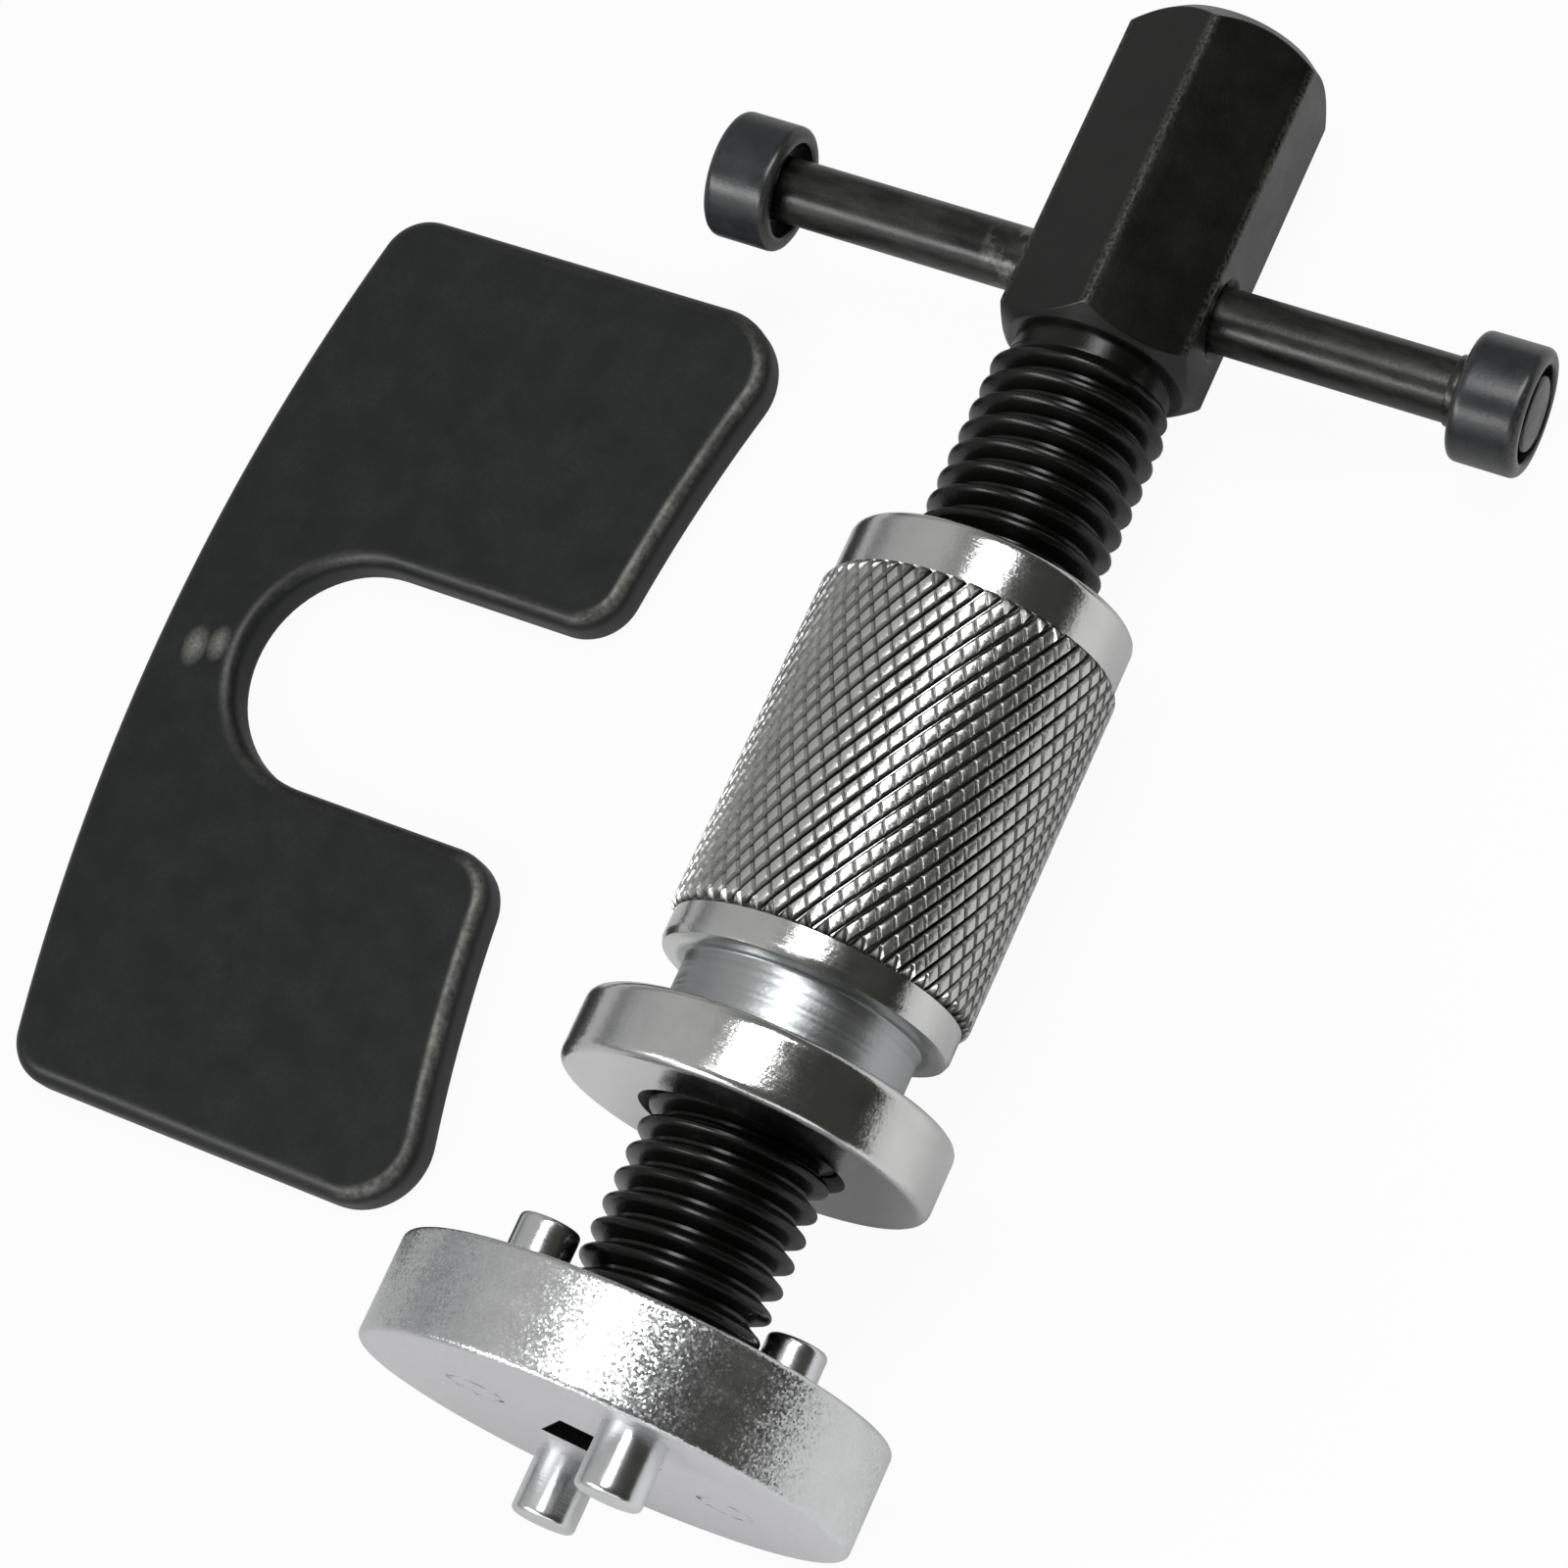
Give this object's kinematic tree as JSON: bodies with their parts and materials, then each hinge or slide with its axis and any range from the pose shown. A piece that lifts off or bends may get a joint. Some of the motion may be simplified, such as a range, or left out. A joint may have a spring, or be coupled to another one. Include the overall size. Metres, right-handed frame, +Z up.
{
  "type": "brake caliper piston tool",
  "caption": "Hand tool that winds brake caliper pistons back: hex-headed forcing screw with tommy bar, knurled thrust sleeve, pinned adaptor disc and slotted reaction plate.",
  "frame": {"origin": "on the bench, under the middle of the whole set as it lies", "axes": "+Y along the tool towards its hex head, +X to the right with the reaction plate on the left, +Z up from the bench"},
  "size_m": [0.1283, 0.1546, 0.0476],
  "materials": {
    "black_steel": "black oxide, satin, worn at the edges",
    "bright_plate": "bright plated, knurled grip",
    "zinc_plate": "zinc plated, fine grain",
    "pin_steel": "ground and plated",
    "magnet": "nickel plated",
    "black_coat": "dark charcoal coating, satin"
  },
  "bodies": {
    "screw": {"forcing_screw": "black_steel"},
    "spin_core": {"drive_magnet": "magnet"},
    "sleeve": {"thrust_sleeve": "bright_plate"},
    "bar": {"tommy_bar": "black_steel", "bar_cap_left": "black_steel", "bar_cap_right": "black_steel"},
    "adaptor": {"adaptor_disc": "zinc_plate", "upper_pin_left": "pin_steel", "upper_pin_right": "pin_steel", "lower_pin_front": "pin_steel", "lower_pin_back": "pin_steel"},
    "plate": {"reaction_plate": "black_coat"}
  },
  "joints": [
    {"name": "sleeve_turn", "type": "hinge", "parent": "screw", "child": "spin_core", "pos_m": [0.02325, -0.06981, 0.02427], "axis": [0, 0.9957, -0.0926], "range_deg": [-1980, 2880]},
    {"name": "sleeve_travel", "type": "slide", "parent": "spin_core", "child": "sleeve", "axis": [0, 0.9957, -0.0926], "range_m": [-0.01376, 0.02001]},
    {"name": "bar_slide", "type": "slide", "parent": "screw", "child": "bar", "axis": [0.9969, -0.0073, -0.0781], "range_m": [-0.023, 0.0259]},
    {"name": "adaptor_pull", "type": "slide", "parent": "screw", "child": "adaptor", "axis": [0, -0.9957, 0.0926], "range_m": [0, 0.02]},
    {"name": "plate_lift", "type": "slide", "parent": "screw", "child": "plate", "axis": [0, 0, 1], "range_m": [0, 0.06]}
  ],
  "couplings": [
    {"joint": "sleeve_travel", "follows": "sleeve_turn", "m_per_rad": 0.00039789}
  ]
}
